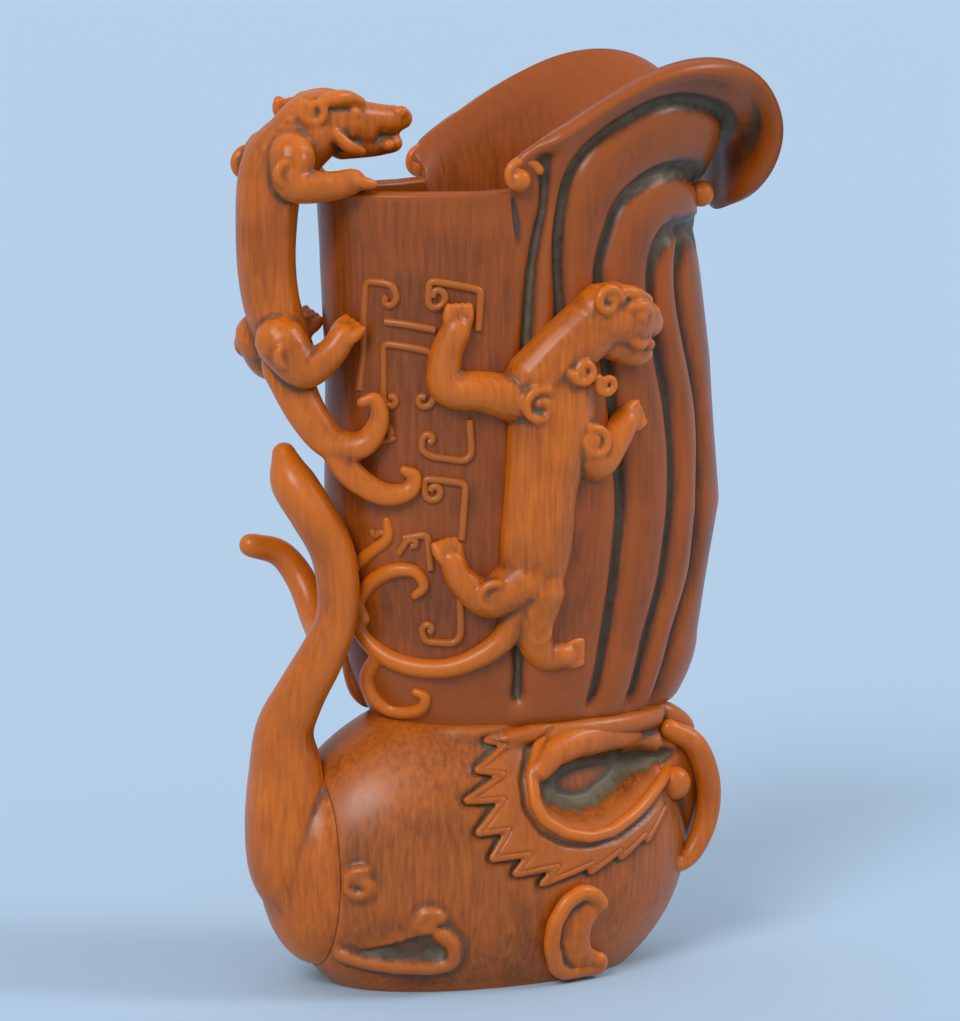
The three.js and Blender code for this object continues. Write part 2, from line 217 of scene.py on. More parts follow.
def boxwood(name, body, worn, recess_shade, dust_amount=0.75):
    material = bpy.data.materials.new(name)
    material.use_nodes = True
    t = material.node_tree
    shader = t.nodes["Principled BSDF"]
    place = node(t, "ShaderNodeTexCoord").outputs["Object"]
    along = node(t, "ShaderNodeMapping", {"Vector": place}, {"Scale": (1, 1, 0.09)}).outputs[0]
    grain = node(t, "ShaderNodeTexNoise", {"Vector": along},
                 {"Scale": 1 / (GRAIN_MM * MM), "Detail": 6.0, "Roughness": 0.6}).outputs["Fac"]
    patch = node(t, "ShaderNodeTexNoise", {"Vector": place},
                 {"Scale": 1 / (16 * MM), "Detail": 3.0}).outputs["Fac"]
    speck = node(t, "ShaderNodeTexNoise", {"Vector": place},
                 {"Scale": 1 / (DUST_MM * MM), "Detail": 8.0, "Roughness": 0.72}).outputs["Fac"]
    hollow = node(t, "ShaderNodeAttribute", attribute_name="hollow").outputs["Fac"]
    proud = node(t, "ShaderNodeAttribute", attribute_name="proud").outputs["Fac"]

    mood = node(t, "ShaderNodeMath", {0: patch, 1: grain}, operation="ADD").outputs[0]
    tone = node(t, "ShaderNodeMapRange", {"Value": mood},
                {"From Min": 0.75, "From Max": 1.3}).outputs[0]
    base = node(t, "ShaderNodeMix", {0: tone}, data_type="RGBA")
    base.inputs[6].default_value = linear(body)
    base.inputs[7].default_value = linear(worn)
    edge = node(t, "ShaderNodeMapRange", {"Value": proud},
                {"From Min": 0.08, "From Max": 0.75, "To Max": 0.8}).outputs[0]
    polished = node(t, "ShaderNodeMix", {0: edge, 6: base.outputs[2]}, data_type="RGBA")
    polished.inputs[7].default_value = linear(worn)
    # painted shade: the hollower a point is, the nearer its colour goes to the near-black recess colour
    shade_amount = node(t, "ShaderNodeMapRange", {"Value": hollow},
                {"From Min": 0.06, "From Max": 0.6, "To Max": 0.9}).outputs[0]
    shaded = node(t, "ShaderNodeMix", {0: shade_amount, 6: polished.outputs[2]}, data_type="RGBA")
    shaded.inputs[7].default_value = linear(recess_shade)

    up = node(t, "ShaderNodeSeparateXYZ", {0: node(t, "ShaderNodeNewGeometry").outputs["Normal"]}).outputs[2]
    ledge = node(t, "ShaderNodeMapRange", {"Value": up}, {"From Min": 0.35, "From Max": 0.95}).outputs[0]
    settled = node(t, "ShaderNodeMath", {0: ledge, 1: hollow}, operation="MULTIPLY_ADD")
    t.links.new(hollow, settled.inputs[2])
    dusty = node(t, "ShaderNodeMath", {0: settled.outputs[0], 1: speck}, operation="MULTIPLY").outputs[0]
    dust = node(t, "ShaderNodeMapRange", {"Value": dusty},
                {"From Min": 0.12, "From Max": 0.75, "To Max": dust_amount}).outputs[0]
    coloured = node(t, "ShaderNodeMix", {0: dust, 6: shaded.outputs[2]}, data_type="RGBA")
    coloured.inputs[7].default_value = linear("#7E735B")
    t.links.new(coloured.outputs[2], shader.inputs["Base Color"])

    dull = node(t, "ShaderNodeMath", {0: dust, 1: grain}, operation="ADD").outputs[0]
    rough = node(t, "ShaderNodeMapRange", {"Value": dull},
                 {"From Min": 0.3, "From Max": 1.3, "To Min": 0.28, "To Max": 0.74}).outputs[0]
    t.links.new(rough, shader.inputs["Roughness"])
    relief = node(t, "ShaderNodeBump", {"Height": grain}, {"Strength": 0.12, "Distance": 0.1 * MM})
    t.links.new(relief.outputs[0], shader.inputs["Normal"])
    shader.inputs["IOR"].default_value = 1.5
    shader.inputs["Specular IOR Level"].default_value = 0.36
    shader.inputs["Coat Weight"].default_value = 0.1
    shader.inputs["Coat Roughness"].default_value = 0.22
    return material


# the third colour of each wood is the painted shade of its recesses
cup_wood = boxwood("boxwood_cup_dark_patina", "#6E340A", "#A04C0C", "#1E0E05", 0.6)
figure_wood = boxwood("boxwood_figures_worn", "#8A4008", "#CE680C", "#261104")
beast_wood = boxwood("boxwood_beast_polished", "#74380C", "#B65C14", "#221005")
fillet_wood = boxwood("boxwood_fillets_rubbed", "#84400E", "#B05C18", "#261108", 0.4)

CUP_COLUMNS, WALL_ROWS, ROLL_ROWS = 480, 96, 44
angles = np.linspace(0, 2 * math.pi, CUP_COLUMNS, endpoint=False)
# The free edge of the spout, by angle from the spout: where it ends, how far the wall rises
# before it bends, which way it comes in at the end, and how far it flares sideways
SPOUT = np.array([
    # angle, edge x, edge z, rise, back x, back z, flare
    (0, 50.5, 149.5, 34, 8, 14, 1.0),
    (12, 53.0, 151.0, 34, 6, 14, 1.9),
    (24, 56.0, 157.5, 32, 2, 15, 1.7),
    (36, 56.3, 166.0, 28, -3, 11, 1.5),
    (48, 51.0, 174.5, 22, -8, 4, 1.38),
    (60, 41.5, 179.0, 18, -9, -2, 1.32),
    (70, 30.5, 179.0, 14, -6, -5, 1.3),
    (78, 20.5, 175.5, 12, -3, -6, 1.28),
    (85, 11.0, 170.0, 9, -1, -6, 1.24),
    (90, 3.5, 165.5, 8, 1, -5, 1.2),
    (94, -1.5, 162.0, 6, 3, -3, 1.16),
    (97, -4.6, 158.6, 5, 3, -1, 1.1),
    (99, -3.0, 156.0, 4, 1, -2, 1.04),
    (101.5, -2.9, 154.8, 4, 0, -3, 1.0),
    (112, -9.3, 154.4, 4, 0, -3, 1.0),
    (180, -32.3, 154.4, 4, 0, -3, 1.0),
])
BEND_Z = 141.0
turned = np.degrees(np.abs((angles + math.pi) % (2 * math.pi) - math.pi))
edge_x, edge_z, rise, back_x, back_z, flare = (np.interp(turned, SPOUT[:, 0], SPOUT[:, k]) for k in range(1, 7))
plain = turned > 101.5


def eased(values, reach=5):
    """The table's corners rounded over a few columns, away from the plain rim."""
    soft = values.copy()
    for _ in range(3):
        soft = sum(np.roll(soft, k) for k in range(-reach, reach + 1)) / (2 * reach + 1)
    return np.where(turned < 88, soft, values)


edge_x, edge_z, rise, back_x, back_z, flare = (eased(v) for v in (edge_x, edge_z, rise, back_x, back_z, flare))


def wall_row(z):
    a, b, middle = oval(z)
    return np.stack([middle + a * np.cos(angles), b * np.sin(angles), np.full(len(angles), z)], 1)


rows = [wall_row(z) for z in np.linspace(SEAT_Z, BEND_Z, WALL_ROWS + 1)]
start = rows[-1]
a, b, middle = oval(RIM_Z)
edge_x = np.where(plain, middle + a * np.cos(angles), edge_x)
edge = np.stack([edge_x, b * np.sin(angles) * flare, edge_z], 1)
lead = start + np.stack([0 * rise, 0 * rise, rise], 1)
trail = edge + np.stack([back_x, -0.12 * edge[:, 1] * (flare > 1), back_z], 1)
for t in np.linspace(0, 1, ROLL_ROWS + 1)[1:]:
    rows.append((1 - t) ** 3 * start + 3 * t * (1 - t) ** 2 * lead + 3 * t * t * (1 - t) * trail + t ** 3 * edge)
path = np.array(rows)
along = np.gradient(path, axis=0)
across = np.stack([-np.sin(angles), FLATNESS * np.cos(angles), 0 * angles], 1)
across /= np.linalg.norm(across, axis=1)[:, None]
outward = np.cross(np.broadcast_to(across, along.shape), along)
outward /= np.linalg.norm(outward, axis=2)[:, :, None]

outer = path + outward * WALL / 2
flat_points = outer[:, :, [0, 2]].reshape(-1, 2)
lines = {key: rounded(traced(line)[:, [0, 2]], 1.2, 10) for key, line in LEAF_LINES.items()}
nearest = np.full(len(flat_points), 1e9)
for line in lines.values():
    nearest = np.minimum(nearest, distance_to(flat_points, line))
fold_x = np.interp(-flat_points[:, 1], -lines["fold"][:, 1], lines["fold"][:, 0])
leafy = smooth((flat_points[:, 0] - fold_x + 2) / 3)
swell = LEAF_SWELL * (1 - np.exp(-nearest / 2.6)) * leafy
groove = LEAF_DEPTH * np.exp(-((nearest / LEAF_WIDTH) ** 2))
height = (swell - groove) * smooth((flat_points[:, 1] - SEAT_Z) / 4)
outer = outer + outward * (height.reshape(outer.shape[:2]) - 0.3)[:, :, None]
outer[0, :, 2] = SEAT_Z
inner = (path - outward * WALL / 2)[::-1].copy()
inner[:, :, 2] = np.maximum(inner[:, :, 2], SEAT_Z + FLOOR)
rim = (outer[-1] + inner[0]) / 2 + along[-1] / np.linalg.norm(along[-1], axis=1)[:, None] * 0.9
skin = np.concatenate([outer, rim[None], inner[:-2:2], inner[-1:]])
ring_count = len(skin)
vertices = np.concatenate([skin.reshape(-1, 3), [(8.5, 0, SEAT_Z), (8.5, 0, SEAT_Z + FLOOR)]])
i = np.arange(CUP_COLUMNS)
j = (i + 1) % CUP_COLUMNS
faces = []
for r in range(ring_count - 1):
    a, b = r * CUP_COLUMNS, (r + 1) * CUP_COLUMNS
    faces += np.stack([a + i, a + j, b + j, b + i], 1).tolist()
under, floor_point = len(vertices) - 2, len(vertices) - 1
last = (ring_count - 1) * CUP_COLUMNS
faces += [(under, q, p) for p, q in zip(i, j)]
faces += [(floor_point, last + p, last + q) for p, q in zip(i, j)]
cup = finish_piece("cup", wood_mesh("cup", vertices, faces), cup_wood, "cup_body")

# The scroll pattern: narrow fillets left standing on the handle half of the cup's front,
# of a common archaic kind with square turns and curled ends. They follow the cup's curve.
FILLET_RADIUS = 0.8


def curl(px, py, radius, start, turns, steps=14):
    """A spiral end in the photograph's pixels, from its outside inwards."""
    out = []
    for k in range(steps + 1):
        t = k / steps
        a = start + turns * 2 * math.pi * t
        r = radius * (1 - 0.72 * t)
        out.append((px + r * math.cos(a), py + r * math.sin(a)))
    return out


RIGHT, DOWN, LEFT, UP = 0.0, math.pi / 2, math.pi, -math.pi / 2
FILLETS = [
    [(354, 392), (357, 330), (361, 286), (378, 288), (394, 292)] + curl(388, 305, 11, UP + 0.5, 0.9),
    [(478, 336), (481, 297), (455, 292), (430, 288)] + curl(437, 303, 13, LEFT - 0.9, -0.9),
    [(384, 327), (410, 331), (436, 336)],
    [(380, 402), (381, 348), (406, 352), (432, 357), (436, 402)] + curl(424, 404, 10, RIGHT, 0.9),
    [(380, 402)] + curl(391, 403, 10, LEFT, -0.9),
    [(366, 444), (397, 442)] + curl(385, 434, 8, DOWN, -0.9),
    [(470, 424), (472, 458), (466, 465), (430, 460), (420, 452)] + curl(430, 444, 9, DOWN + 0.8, 0.9),
    [(462, 542), (466, 487), (445, 484), (424, 482)] + curl(434, 494, 11, LEFT - 0.7, -0.9),
    [(404, 541), (428, 537), (431, 572)],
    [(398, 556)] + curl(413, 547, 8, LEFT, 0.9),
    [(366, 530)] + curl(380, 540, 9, LEFT, 0.9),
    [(460, 580), (461, 638), (455, 646), (424, 644)] + curl(429, 632, 9, DOWN + 0.5, 0.9),
]


def fillet_tree():
    """Sweep a round profile along the drawn lines and give it the wood."""
    tree = bpy.data.node_groups.new("fillet_sweep", "GeometryNodeTree")
    tree.interface.new_socket("Lines", in_out="INPUT", socket_type="NodeSocketGeometry")
    tree.interface.new_socket("Radius", in_out="INPUT", socket_type="NodeSocketFloat")
    tree.interface.new_socket("Wood", in_out="INPUT", socket_type="NodeSocketMaterial")
    tree.interface.new_socket("Fillets", in_out="OUTPUT", socket_type="NodeSocketGeometry")
    given = tree.nodes.new("NodeGroupInput").outputs
    curve = node(tree, "GeometryNodeMeshToCurve", {0: given["Lines"]}).outputs[0]
    profile = node(tree, "GeometryNodeCurvePrimitiveCircle", {"Radius": given["Radius"]}, {"Resolution": 8})
    swept = node(tree, "GeometryNodeCurveToMesh", {"Curve": curve, "Profile Curve": profile.outputs[0]},
                 {"Fill Caps": True}).outputs[0]
    real = node(tree, "GeometryNodeRealizeInstances", {0: swept}).outputs[0]
    dressed = node(tree, "GeometryNodeSetMaterial", {"Geometry": real, "Material": given["Wood"]}).outputs[0]
    node(tree, "NodeGroupOutput", {0: dressed})
    return tree


def swept_piece(name, lines_mm, radius, material):
    tree = bpy.data.node_groups.get("fillet_sweep") or fillet_tree()
    mesh = bpy.data.meshes.new(name + "_lines")
    points, edges = [], []
    for line in lines_mm:
        first = len(points)
        points += ((np.asarray(line) + (SHIFT_X, 0, 0)) * MM).tolist()
        edges += [(first + k, first + k + 1) for k in range(len(line) - 1)]
    mesh.from_pydata(points, edges, [])
    holder = bpy.data.objects.new(name + "_lines", mesh)
    bpy.context.scene.collection.objects.link(holder)
    modifier = holder.modifiers.new("sweep", "NODES")
    modifier.node_group = tree
    names = {item.name: item.identifier for item in tree.interface.items_tree if item.in_out == "INPUT"}
    modifier[names["Radius"]] = radius * MM
    modifier[names["Wood"]] = material
    graph = bpy.context.evaluated_depsgraph_get()
    made = bpy.data.meshes.new_from_object(holder.evaluated_get(graph))
    bpy.data.objects.remove(holder)
    made.name = name
    return made


front_lines = [traced(rounded(line, 2.0), 0.05) for line in FILLETS]
front_lines = [rounded(line) for line in front_lines]
finish_piece("scroll_fillets_front", swept_piece("scroll_fillets_front", front_lines, FILLET_RADIUS, fillet_wood),
             fillet_wood)
back_lines = [line * (1, -1, 1) for line in front_lines]
finish_piece("scroll_fillets_back", swept_piece("scroll_fillets_back", back_lines, FILLET_RADIUS, fillet_wood),
             fillet_wood)

# The handle dragon: a hornless dragon carved free of the cup, which looks in over the rim.
# Its back is the handle, its paws hold the rim and the wall, and its tail forks on the wall.
VOXEL_MM = 0.42


def limb(points, flat=1.0, sides=18, per_span=7, lean=(0, 1, 0)):
    """A rounded limb along a smooth route of (x, y, z, radius), flattened along lean."""
    p = np.asarray(points, float)
    padded = np.concatenate([[2 * p[0] - p[1]], p, [2 * p[-1] - p[-2]]])
    route = []
    for k in range(len(p) - 1):
        a, b, c, d = padded[k:k + 4]
        for t in np.linspace(0, 1, per_span, endpoint=False):
            route.append(0.5 * (2 * b + (c - a) * t + (2 * a - 5 * b + 4 * c - d) * t * t
                                + (3 * b - a - 3 * c + d) * t ** 3))
    route = np.array(route + [p[-1]])
    centre, radius = route[:, :3], np.maximum(0.15, route[:, 3])
    heading = np.gradient(centre, axis=0)
    heading /= np.linalg.norm(heading, axis=1)[:, None]
    # rounded ends: short rings that close down to a pole
    caps = [(-math.sin(a), math.cos(a)) for a in (1.35, 1.0, 0.55)]
    stations = [(centre[0] + heading[0] * radius[0] * s, heading[0], radius[0] * c) for s, c in caps]
    stations += list(zip(centre, heading, radius))
    stations += [(centre[-1] - heading[-1] * radius[-1] * s, heading[-1], radius[-1] * c)
                 for s, c in reversed(caps)]
    turn = np.linspace(0, 2 * math.pi, sides, endpoint=False)
    rings = []
    side = np.array(lean, float)
    for c, h, r in stations:
        side = side - h * (side @ h)
        if np.linalg.norm(side) < 1e-3:
            side = np.cross(h, (1.0, 0.3, 0.2))
        side /= np.linalg.norm(side)
        over = np.cross(h, side)
        rings.append(c + r * (flat * np.cos(turn)[:, None] * side + np.sin(turn)[:, None] * over))
    vertices = np.concatenate(rings + [[stations[0][0] - stations[0][1] * 0.02],
                                       [stations[-1][0] + stations[-1][1] * 0.02]])
    faces = []
    for r in range(len(rings) - 1):
        for k in range(sides):
            m = (k + 1) % sides
            faces.append((r * sides + k, r * sides + m, (r + 1) * sides + m, (r + 1) * sides + k))
    first, final = len(vertices) - 2, len(vertices) - 1
    for k in range(sides):
        m = (k + 1) % sides
        faces.append((first, m, k))
        faces.append((final, (len(rings) - 1) * sides + k, (len(rings) - 1) * sides + m))
    return vertices, faces


def blob(x, y, z, rx, ry=None, rz=None, rows=14, sides=22):
    """A rounded lump with its own half sizes."""
    ry, rz = ry or rx, rz or rx
    lat = np.linspace(-math.pi / 2, math.pi / 2, rows + 1)[1:-1]
    lon = np.linspace(0, 2 * math.pi, sides, endpoint=False)
    grid = [(rx * math.cos(a) * math.cos(o), ry * math.cos(a) * math.sin(o), rz * math.sin(a))
            for a in lat for o in lon]
    vertices = np.array(grid + [(0, 0, -rz), (0, 0, rz)]) + (x, y, z)
    faces = []
    for r in range(len(lat) - 1):
        for k in range(sides):
            m = (k + 1) % sides
            faces.append((r * sides + k, r * sides + m, (r + 1) * sides + m, (r + 1) * sides + k))
    low, high = len(vertices) - 2, len(vertices) - 1
    for k in range(sides):
        m = (k + 1) % sides
        faces.append((low, m, k))
        faces.append((high, (len(lat) - 1) * sides + k, (len(lat) - 1) * sides + m))
    return vertices, faces


def carve(name, lumps, voxel=VOXEL_MM, relax=3):
    """Join the lumps into one carved skin, as a chisel leaves it, with the joints run together."""
    vertices, faces = [], []
    for v, f in lumps:
        first = len(vertices)
        vertices += np.asarray(v).tolist()
        faces += [tuple(first + k for k in face) for face in f]
    holder = bpy.data.objects.new(name + "_rough", wood_mesh(name + "_rough", vertices, faces))
    bpy.context.scene.collection.objects.link(holder)
    remesh = holder.modifiers.new("skin", "REMESH")
    remesh.mode = "VOXEL"
    remesh.voxel_size = voxel * MM
    remesh.adaptivity = 0.0
    soften = holder.modifiers.new("soften", "SMOOTH")
    soften.factor = 0.5
    soften.iterations = relax
    graph = bpy.context.evaluated_depsgraph_get()
    made = bpy.data.meshes.new_from_object(holder.evaluated_get(graph))
    bpy.data.objects.remove(holder)
    made.name = name
    return made


def volute(x, y, z, radius, turns, start, thickness, plane=(1, 0, 2), steps=12, way=1):
    """A small scroll that winds inwards, for joints, brows and tail ends."""
    points = []
    for k in range(steps + 1):
        t = k / steps
        a = start + way * turns * 2 * math.pi * t
        r = radius * (1 - 0.75 * t)
        points.append((x + r * math.cos(a), y, z + r * math.sin(a), thickness * (1 - 0.25 * t)))
    return points


def paw(wrist, towards, spread, toes=4, length=4.2, radius=1.15):
    """Toes that fan out from a wrist."""
    wrist, towards, spread = (np.array(v, float) for v in (wrist, towards, spread))
    lumps = []
    for k in range(toes):
        offset = (k - (toes - 1) / 2) / (toes - 1)
        root = wrist + spread * offset * 3.4
        knuckle = root + towards * length * 0.55 + spread * offset * 1.0
        tip = root + towards * length + spread * offset * 1.2
        lumps.append(limb([(*root, radius), (*knuckle, radius * 1.08), (*tip, radius * 0.8)], per_span=4, sides=12))
    return lumps


handle = [
    limb([(-41, 0, 161, 6.4), (-35, 0, 167, 6.8), (-29, 0, 167.6, 5.8), (-26, 0, 167, 4.8)], 0.92),
    limb([(-29, 0, 168.5, 4.4), (-23.5, 0, 168.2, 3.4), (-19, 0, 168, 2.9), (-16.8, 0, 168.3, 2.3)], 1.1),
    limb([(-29, 0, 164, 3.4), (-23, 0, 163.2, 2.2), (-18.5, 0, 163.6, 1.9)], 1.25),
    limb([(-36, 0, 166, 6), (-43, 0, 160, 6.2), (-44.8, 0, 147, 5.7), (-44, 0, 135, 5.4), (-40.5, 0, 124, 5.2)], 1.15),
    limb([(-42, -2, 122, 4.6), (-39, -6, 113, 3.9), (-35, -9, 107.5, 3.4), (-30, -12, 107.5, 2.7),
          (-27.4, -13.6, 112, 2.1), (-28.2, -13.6, 116, 1.6), (-30.6, -13, 115.6, 1.2)], 0.8),
    limb([(-35, -9, 107, 3), (-32, -11.5, 101.5, 2.7), (-27, -14, 98, 2.3), (-22.5, -15.8, 98.5, 1.9),
          (-21.4, -16.3, 101.3, 1.5), (-23.2, -15.8, 102.4, 1.1)], 0.8),
]
for s in (-1, 1):
    handle += [
        limb([(-42, s * 6, 162, 4.6), (-42.5, s * 8.5, 157, 3.6), (-36, s * 9.5, 156.4, 2.9),
              (-31, s * 9.6, 157.2, 2.5)]),
        limb([(-44, s * 5, 127, 5), (-40.5, s * 8, 122, 4), (-36, s * 9.4, 124.5, 3), (-33.2, s * 10, 128, 2.6)]),
        limb([(x, y - 0.2 * s, z, r) for x, y, z, r in volute(-44.5, s * 10.2, 159.5, 3.4, 1.1, 0.6, 1.1, way=s)],
             per_span=3, sides=10),
        limb([(x, y - 0.2 * s, z, r) for x, y, z, r in volute(-44.6, s * 9.6, 125, 3.0, 1.1, 0.6, 1.0, way=s)],
             per_span=3, sides=10),
        limb([(-26.5, s * 2.6, 171.6, 1.3), (-30.5, s * 4.4, 172.6, 1.7), (-35, s * 5.4, 172.2, 1.4)], per_span=5),
        limb(volute(-37.2, s * 6.0, 170.4, 2.8, 1.2, 2.6, 1.05), per_span=3, sides=10),
        blob(-28.6, s * 4.0, 169.6, 1.7, 1.4, 1.4),
        blob(-17.6, s * 2.0, 169.6, 1.5, 1.3, 1.3),
        blob(-20.6, s * 2.9, 163.4, 1.3, 1.2, 1.2),
        limb([(-33, s * 5.6, 166, 1.2), (-30, s * 6, 163.4, 1.3), (-27, s * 4.6, 162.4, 1.0)], per_span=4, sides=10),
    ]
    handle += paw((-31.5, s * 9.6, 157.4), (0.9, 0.0, -0.18), (0, 1, 0))
    handle += paw((-34.0, s * 9.9, 127.6), (0.72, 0.0, 0.62), (-0.3, 0.9, 0.4))
finish_piece("handle_dragon", carve("handle_dragon", handle), figure_wood, "handle_chilong")


# The climbing dragons: one on the front and one on the back of the cup, each carved in high
# relief from the same wood as the wall, with the head turned to the spout.
def clinging(rows, side):
    return [(*cup_face(x, z, lift, side), r) for x, z, lift, r in rows]


def cup_volute(x, z, lift, radius, turns, start, thickness, side, way=1):
    rows = []
    for k in range(13):
        t = k / 12
        a = start + way * turns * 2 * math.pi * t
        r = radius * (1 - 0.75 * t)
        rows.append((x + r * math.cos(a), z + r * math.sin(a), lift, thickness * (1 - 0.25 * t)))
    return limb(clinging(rows, side), per_span=3, sides=10)


def climbing_dragon(side):
    on = lambda rows, flat=1.0, **more: limb(clinging(rows, side), flat, **more)
    lumps = [
        on([(4.6, 119, 0.6, 8.6), (4, 110, 0.8, 8.7), (2, 98, 0.6, 7.4), (1.2, 86, 0.5, 7.2), (0.4, 76, 0.4, 5.2)], 0.7),
        on([(1, 119, 1.0, 6.6), (6, 124.5, 2.0, 6.2), (12, 129.5, 3.0, 6.2), (16, 131.5, 3.4, 6.4)], 0.85),
        on([(14, 131.5, 4, 6.4), (19.5, 130.5, 4.4, 5.6), (23.6, 130, 4.0, 4.0), (25, 129.4, 3.6, 3.2)], 0.85),
        on([(16, 126, 3.4, 3.4), (21, 123.6, 3.6, 2.5), (23.6, 123.4, 3.2, 2.0)], 1.0),
        on([(0, 115, 1.4, 5.0), (-9, 117.4, 1.6, 4.0), (-15.8, 118.4, 1.6, 3.6), (-16.2, 124, 1.4, 3.2),
            (-14.2, 129.4, 1.2, 2.9)]),
        on([(9.6, 108, 1.0, 5.0), (13.2, 103.2, 1.2, 4.0), (17.4, 106.8, 1.2, 3.2), (20.2, 110.4, 1.0, 2.8)]),
        on([(-1, 81, 0.8, 5.4), (-7.6, 77.6, 0.8, 4.0), (-12.6, 81, 0.8, 2.9), (-14.6, 85, 0.6, 2.6)]),
        on([(2, 79, 0.8, 5.2), (1.2, 71, 0.8, 3.9), (3.4, 66, 0.8, 3.0), (7.8, 65.6, 0.6, 2.7)]),
        on([(-0.6, 77, 0.4, 4.4), (-3.5, 70.5, 0.4, 2.7), (-7.8, 66.5, 0.4, 2.2), (-13.9, 63.9, 0.4, 1.9),
            (-19.9, 63.9, 0.4, 1.9), (-24.3, 65.8, 0.2, 1.9), (-27.2, 70, 0.2, 1.8), (-28, 75, 0.2, 1.7),
            (-27.2, 79.4, 0.2, 1.6), (-24.4, 82.6, 0.2, 1.5), (-20.8, 82.8, 0.2, 1.3), (-19, 80, 0.2, 1.1),
            (-20.4, 78, 0.2, 0.9)]),
        on([(-24.6, 66, 0.2, 1.8), (-25.8, 61.4, 0.2, 1.7), (-24.6, 57, 0.2, 1.6), (-21.4, 54.4, 0.2, 1.5),
            (-18.0, 55, 0.2, 1.3), (-17.4, 57.8, 0.2, 1.1), (-19.2, 58.8, 0.2, 0.9)]),
        on([(-27, 73, 0.2, 1.6), (-28.4, 77, 0.2, 1.5), (-29.4, 81.6, 0, 1.4), (-27.6, 85.6, 0, 1.3),
            (-25.2, 89, 0, 1.2), (-25.4, 92.6, 0, 0.9)]),
        cup_volute(-0.4, 114.6, 6.2, 3.6, 1.1, 1.2, 1.05, side),
        cup_volute(11.4, 107, 5.2, 3.2, 1.1, 1.8, 0.95, side, -1),
        cup_volute(-8.2, 78, 4.0, 3.0, 1.1, 1.0, 0.95, side),
        cup_volute(0.8, 70.6, 3.8, 2.8, 1.1, 2.0, 0.9, side, -1),
        cup_volute(12.4, 134.4, 9.2, 2.9, 1.2, 0.2, 1.1, side),
        cup_volute(8.2, 121.4, 7.2, 2.6, 1.1, 3.4, 0.9, side),
        cup_volute(13.6, 118.6, 6.2, 2.4, 1.1, 2.6, 0.9, side),
        on([(14.5, 136.2, 7.4, 1.4), (18.6, 135.6, 8.0, 1.6), (22.6, 134, 7.0, 1.3)], per_span=5),
        on([(17.8, 133.2, 8.8, 1.1), (20.4, 133.2, 9.0, 1.3), (22.8, 131.8, 8.0, 1.0)], per_span=5),
        on([(18, 127.4, 7.2, 1.0), (20.6, 125.6, 7.0, 1.1), (23, 126.4, 6.0, 0.9)], per_span=5),
        blob(*cup_face(19.8, 131.4, 8.8, side), 1.5, 1.3, 1.4),
        blob(*cup_face(24.4, 131.6, 6.2, side), 1.6, 1.5, 1.5),
        blob(*cup_face(23.8, 125.4, 5.4, side), 1.3, 1.2, 1.2),
    ]
    out = np.array((0, side * 0.25, 0))
    lumps += paw(cup_face(-14.1, 129.6, 1.6, side), (0.06, 0, 0.95), (0.9, 0, 0))
    lumps += paw(cup_face(20.6, 110.6, 1.2, side), np.array((0.8, 0, 0.3)) - out, (-0.35, 0, 0.85))
    lumps += paw(cup_face(-14.8, 85.4, 1.0, side), np.array((-0.3, 0, 0.85)) - out, (0.9, 0, 0.2), length=3.6)
    lumps += paw(cup_face(8.2, 65.6, 1.0, side), (0.9, 0, 0.12), (0, 0, 0.9), length=3.6)
    return lumps


for place, side in (("front", -1), ("back", 1)):
    name = "climbing_dragon_" + place
    finish_piece(name, carve(name, climbing_dragon(side)), figure_wood, place + "_chilong")

# The beast: a crouching animal with the cup on its back, cut from the thickest of the wood.
# Its flanks are polished smooth by handling, and its underside is flat to stand on.
LENGTH, DEPTH, HEIGHT, MIDDLE_Z = 88.0, 48.0, 68.0, 24.0


def flank(x, z, lift, radius, side):
    inside = 1 - (x / (LENGTH / 2)) ** 2 - ((z - MIDDLE_Z) / (HEIGHT / 2)) ** 2
    return (x, side * (DEPTH / 2 * math.sqrt(max(0.02, inside)) + lift), z, radius)


def on_flank(pixels, step=0.5, passes=2):
    """Points (x, z) of the beast's flank under a line of the photograph."""
    points = []
    for px, py in pixels:
        y = -18.0
        for _ in range(8):
            x, z = from_photo(px, py, y)
            y = (y + flank(x, z, 0.0, 1, -1)[1]) / 2
        points.append((x, z))
    return rounded(points, step, passes)


def ridge(line, lift, radius, side, flat=1.0, every=3):
    """A raised line along points (x, z) of the flank."""
    picked = line[::every]
    return limb([flank(x, z, lift, radius, side) for x, z in picked], flat, per_span=2, sides=10)


def inside_of(points, outline):
    """1 for the points inside a closed outline and 0 for the others."""
    count = np.zeros(len(points), int)
    for (ax, az), (bx, bz) in zip(outline, np.roll(outline, -1, axis=0)):
        if az == bz:
            continue
        crosses = (az > points[:, 1]) != (bz > points[:, 1])
        count += crosses & (points[:, 0] < ax + (points[:, 1] - az) * (bx - ax) / (bz - az))
    return count % 2


# The ear, the mane's flame edge and the haunch, as pixels of the photograph
EAR_RIM = [(547, 731), (535, 752), (529, 778), (532, 805), (542, 823), (563, 836), (587, 841), (610, 836), (634, 820),
           (655, 799), (671, 777), (680, 755)]
EAR_FOLD = [(537, 773), (550, 756), (571, 745), (602, 740), (634, 740), (660, 747)]
EAR_LINE = [(543, 731), (526, 755), (520, 784), (524, 812), (541, 836), (563, 848), (590, 851), (618, 845), (646, 826),
            (667, 803)]
MANE_EDGE = [(519, 726), (485, 744), (505, 748), (476, 773), (503, 777), (465, 803), (503, 802), (477, 835),
             (508, 832), (491, 861), (529, 857), (514, 877), (558, 870), (541, 888), (592, 869), (590, 878),
             (621, 857), (621, 865), (647, 843), (649, 849), (668, 818)]
HAUNCH_LIP = [(340, 958), (362, 965), (392, 970), (432, 972), (452, 967), (453, 948), (437, 934)]
ear_rim, ear_fold, ear_line = on_flank(EAR_RIM), on_flank(EAR_FOLD), on_flank(EAR_LINE)
mane_edge = on_flank(MANE_EDGE, 0.4, 0)
haunch_lip = on_flank(HAUNCH_LIP)
